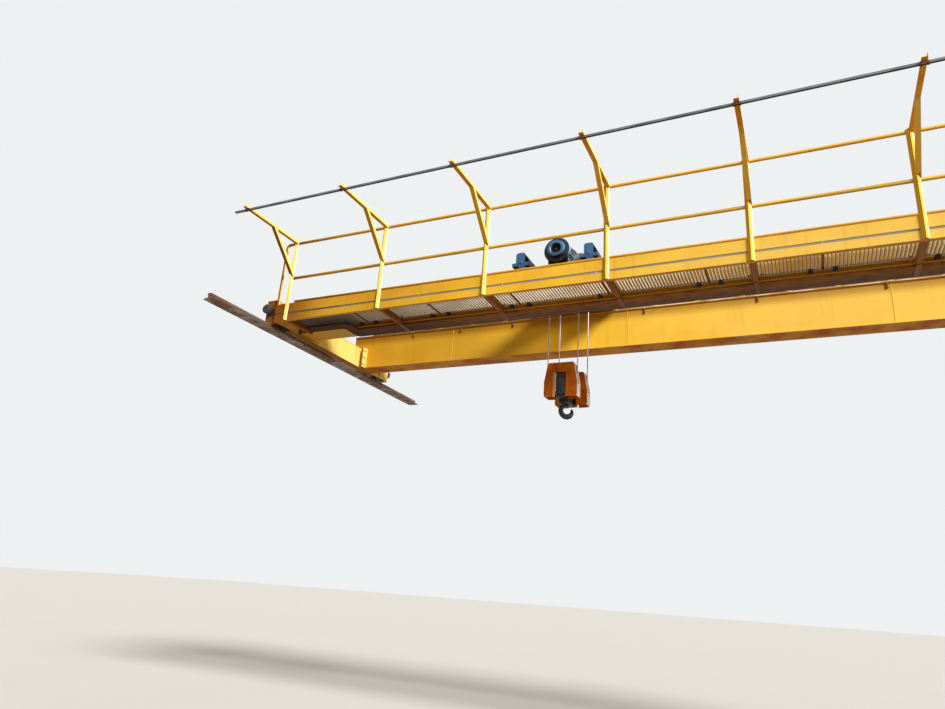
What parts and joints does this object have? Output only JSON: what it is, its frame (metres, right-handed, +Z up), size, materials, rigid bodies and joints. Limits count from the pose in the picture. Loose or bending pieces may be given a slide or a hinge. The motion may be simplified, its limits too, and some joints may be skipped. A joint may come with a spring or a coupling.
{
  "type": "overhead bridge crane",
  "caption": "Double girder overhead bridge crane with side walkway, handrail, travelling hoist crab and hook block, on runway rail pieces.",
  "frame": {"origin": "centre of the underside of the left runway rail's foot, half way along the rail", "axes": "+X along the bridge towards the right rail, +Y along the runway away from the walkway, +Z up"},
  "size_m": [14.0166, 5.645, 2.5566],
  "materials": {
    "yellow_paint": "worn gloss paint",
    "blue_paint": "dusty gloss paint",
    "orange_paint": "rusty matt paint",
    "galvanised": "dull zinc",
    "grey_plate": "dirty matt grey",
    "rail_steel": "rusty steel with a bright head",
    "wheel_steel": "greasy steel",
    "rope_wire": "oiled wire",
    "black_rubber": "matt",
    "black_steel": "worn black"
  },
  "bodies": {
    "runway": {"rail_left": "rail_steel", "rail_right": "rail_steel"},
    "bridge": {"end_carriage_left": "yellow_paint", "end_carriage_right": "yellow_paint", "travel_wheels_left": "wheel_steel", "travel_wheels_right": "wheel_steel", "buffers": "black_rubber", "travel_drives": "blue_paint", "girder_near": "yellow_paint", "girder_far": "yellow_paint", "joint_plates": "yellow_paint", "nose_plates": "yellow_paint", "crab_rail_near": "rail_steel", "crab_rail_far": "rail_steel", "walkway_channel": "yellow_paint", "cross_members": "yellow_paint", "walkway_grating": "galvanised", "walkway_end_plates": "grey_plate", "toe_board": "yellow_paint", "handrail_posts": "yellow_paint", "outrigger_arms": "yellow_paint", "top_rail": "yellow_paint", "middle_rail": "yellow_paint", "festoon_rail": "grey_plate", "cable_tray": "grey_plate", "tray_hangers": "yellow_paint"},
    "crab": {"crab_beam_left": "blue_paint", "crab_beam_right": "blue_paint", "crab_deck": "blue_paint", "crab_wheels": "wheel_steel", "crab_drive": "blue_paint", "hoist_motor": "blue_paint", "terminal_box": "grey_plate", "hoist_gearbox": "blue_paint", "rope_drum": "wheel_steel", "drum_bearing": "blue_paint", "rope_anchor": "grey_plate", "hoist_ropes": "rope_wire"},
    "hook_block": {"sheave_cover_near": "orange_paint", "sheave_cover_far": "orange_paint", "sheaves": "wheel_steel", "block_axle": "wheel_steel", "crosshead": "black_steel"},
    "hook": {"hook": "black_steel"}
  },
  "joints": [
    {"name": "bridge_travel", "type": "slide", "parent": "runway", "child": "bridge", "axis": [0, 1, 0], "range_m": [-1.2, 1.2]},
    {"name": "crab_travel", "type": "slide", "parent": "bridge", "child": "crab", "axis": [1, 0, 0], "range_m": [-3.25, 8.33]},
    {"name": "hoist", "type": "slide", "parent": "crab", "child": "hook_block", "axis": [0, 0, 1], "range_m": [-4, 0.95], "deforming": ["hoist_ropes"]},
    {"name": "hook_swivel", "type": "hinge", "parent": "hook_block", "child": "hook", "pos_m": [4.215, -0.11, -1], "axis": [0, 0, 1], "continuous": true}
  ]
}
